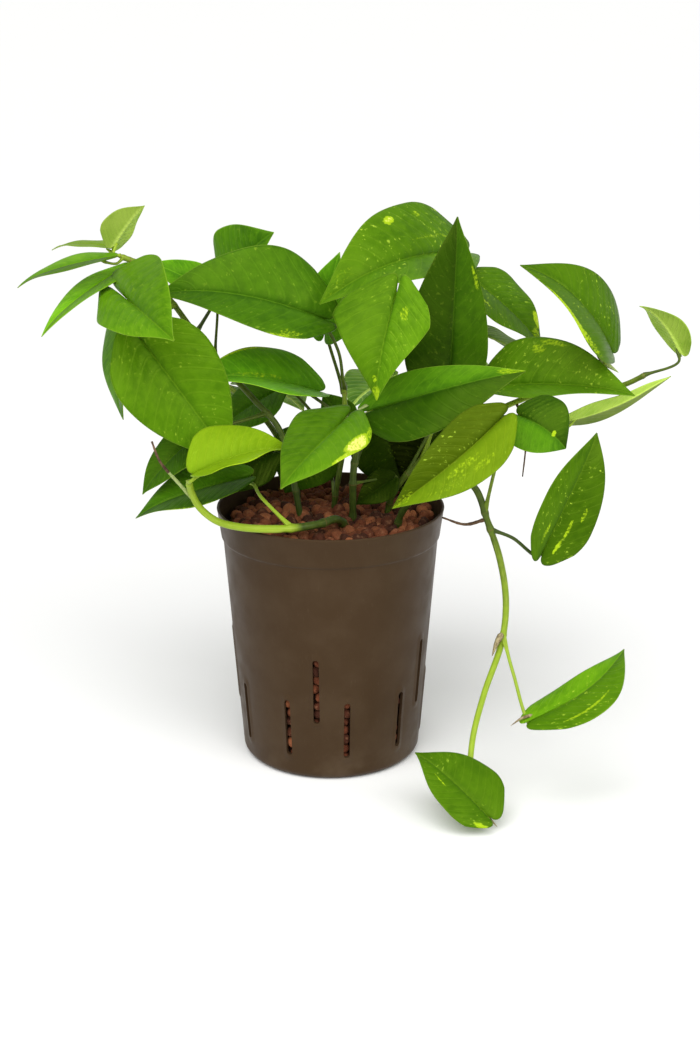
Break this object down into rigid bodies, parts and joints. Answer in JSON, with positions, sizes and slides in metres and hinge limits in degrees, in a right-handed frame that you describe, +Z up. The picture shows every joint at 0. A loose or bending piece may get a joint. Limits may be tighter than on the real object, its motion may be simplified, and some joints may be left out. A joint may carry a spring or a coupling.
{
  "type": "potted pothos plant",
  "caption": "Pothos with trailing vines and heart-shaped, lightly variegated leaves in a slotted dark brown pot of clay granules.",
  "frame": {"origin": "centre of the pot's flat base, on the surface it stands on", "axes": "+Z up along the pot's axis; the plant's front faces -Y, and the trailing vine hangs over the rim towards +X"},
  "size_m": [0.4601, 0.3082, 0.4031],
  "materials": {
    "pot_plastic": "satin, dark brown",
    "clay": "rough, unglazed, brick red",
    "stem": "satin, yellow-green",
    "leaf_deep": "glossy, deep green",
    "leaf_mid": "glossy, mid green",
    "leaf_lime": "glossy, yellow-green"
  },
  "bodies": {
    "root": {"pot": "pot_plastic", "clay_granules": "clay", "vine_left": "stem", "vine_front": "stem", "vine_centre": "stem", "vine_middle": "stem", "vine_right": "stem", "vine_trailing": "stem", "vine_rear_left": "stem", "vine_rear_right": "stem", "leaf_left_1": "leaf_lime", "leaf_left_2": "leaf_mid", "leaf_left_3": "leaf_mid", "leaf_left_4": "leaf_lime", "leaf_left_5": "leaf_mid", "leaf_left_6": "leaf_deep", "leaf_left_7": "leaf_mid", "leaf_left_8": "leaf_deep", "leaf_left_9": "leaf_deep", "leaf_front_1": "leaf_lime", "leaf_front_2": "leaf_deep", "leaf_front_3": "leaf_deep", "leaf_centre_1": "leaf_mid", "leaf_centre_2": "leaf_deep", "leaf_centre_3": "leaf_mid", "leaf_centre_4": "leaf_mid", "leaf_middle_1": "leaf_deep", "leaf_middle_2": "leaf_deep", "leaf_middle_3": "leaf_deep", "leaf_middle_4": "leaf_deep", "leaf_low_1": "leaf_deep", "leaf_low_2": "leaf_deep", "leaf_low_3": "leaf_deep", "leaf_low_4": "leaf_deep", "leaf_low_5": "leaf_deep", "leaf_low_6": "leaf_deep", "leaf_right_1": "leaf_mid", "leaf_right_2": "leaf_mid", "leaf_right_3": "leaf_mid", "leaf_right_4": "leaf_lime", "leaf_right_5": "leaf_lime", "leaf_right_6": "leaf_deep", "leaf_right_7": "leaf_deep", "leaf_trailing_1": "leaf_lime", "leaf_trailing_2": "leaf_mid", "leaf_trailing_3": "leaf_mid", "leaf_trailing_4": "leaf_mid", "leaf_rear_left_1": "leaf_mid", "leaf_rear_left_2": "leaf_mid", "leaf_rear_left_3": "leaf_deep", "leaf_rear_left_4": "leaf_deep", "leaf_rear_right_1": "leaf_deep", "leaf_rear_right_2": "leaf_mid", "leaf_rear_right_3": "leaf_mid", "leaf_rear_right_4": "leaf_deep"}
  },
  "joints": []
}
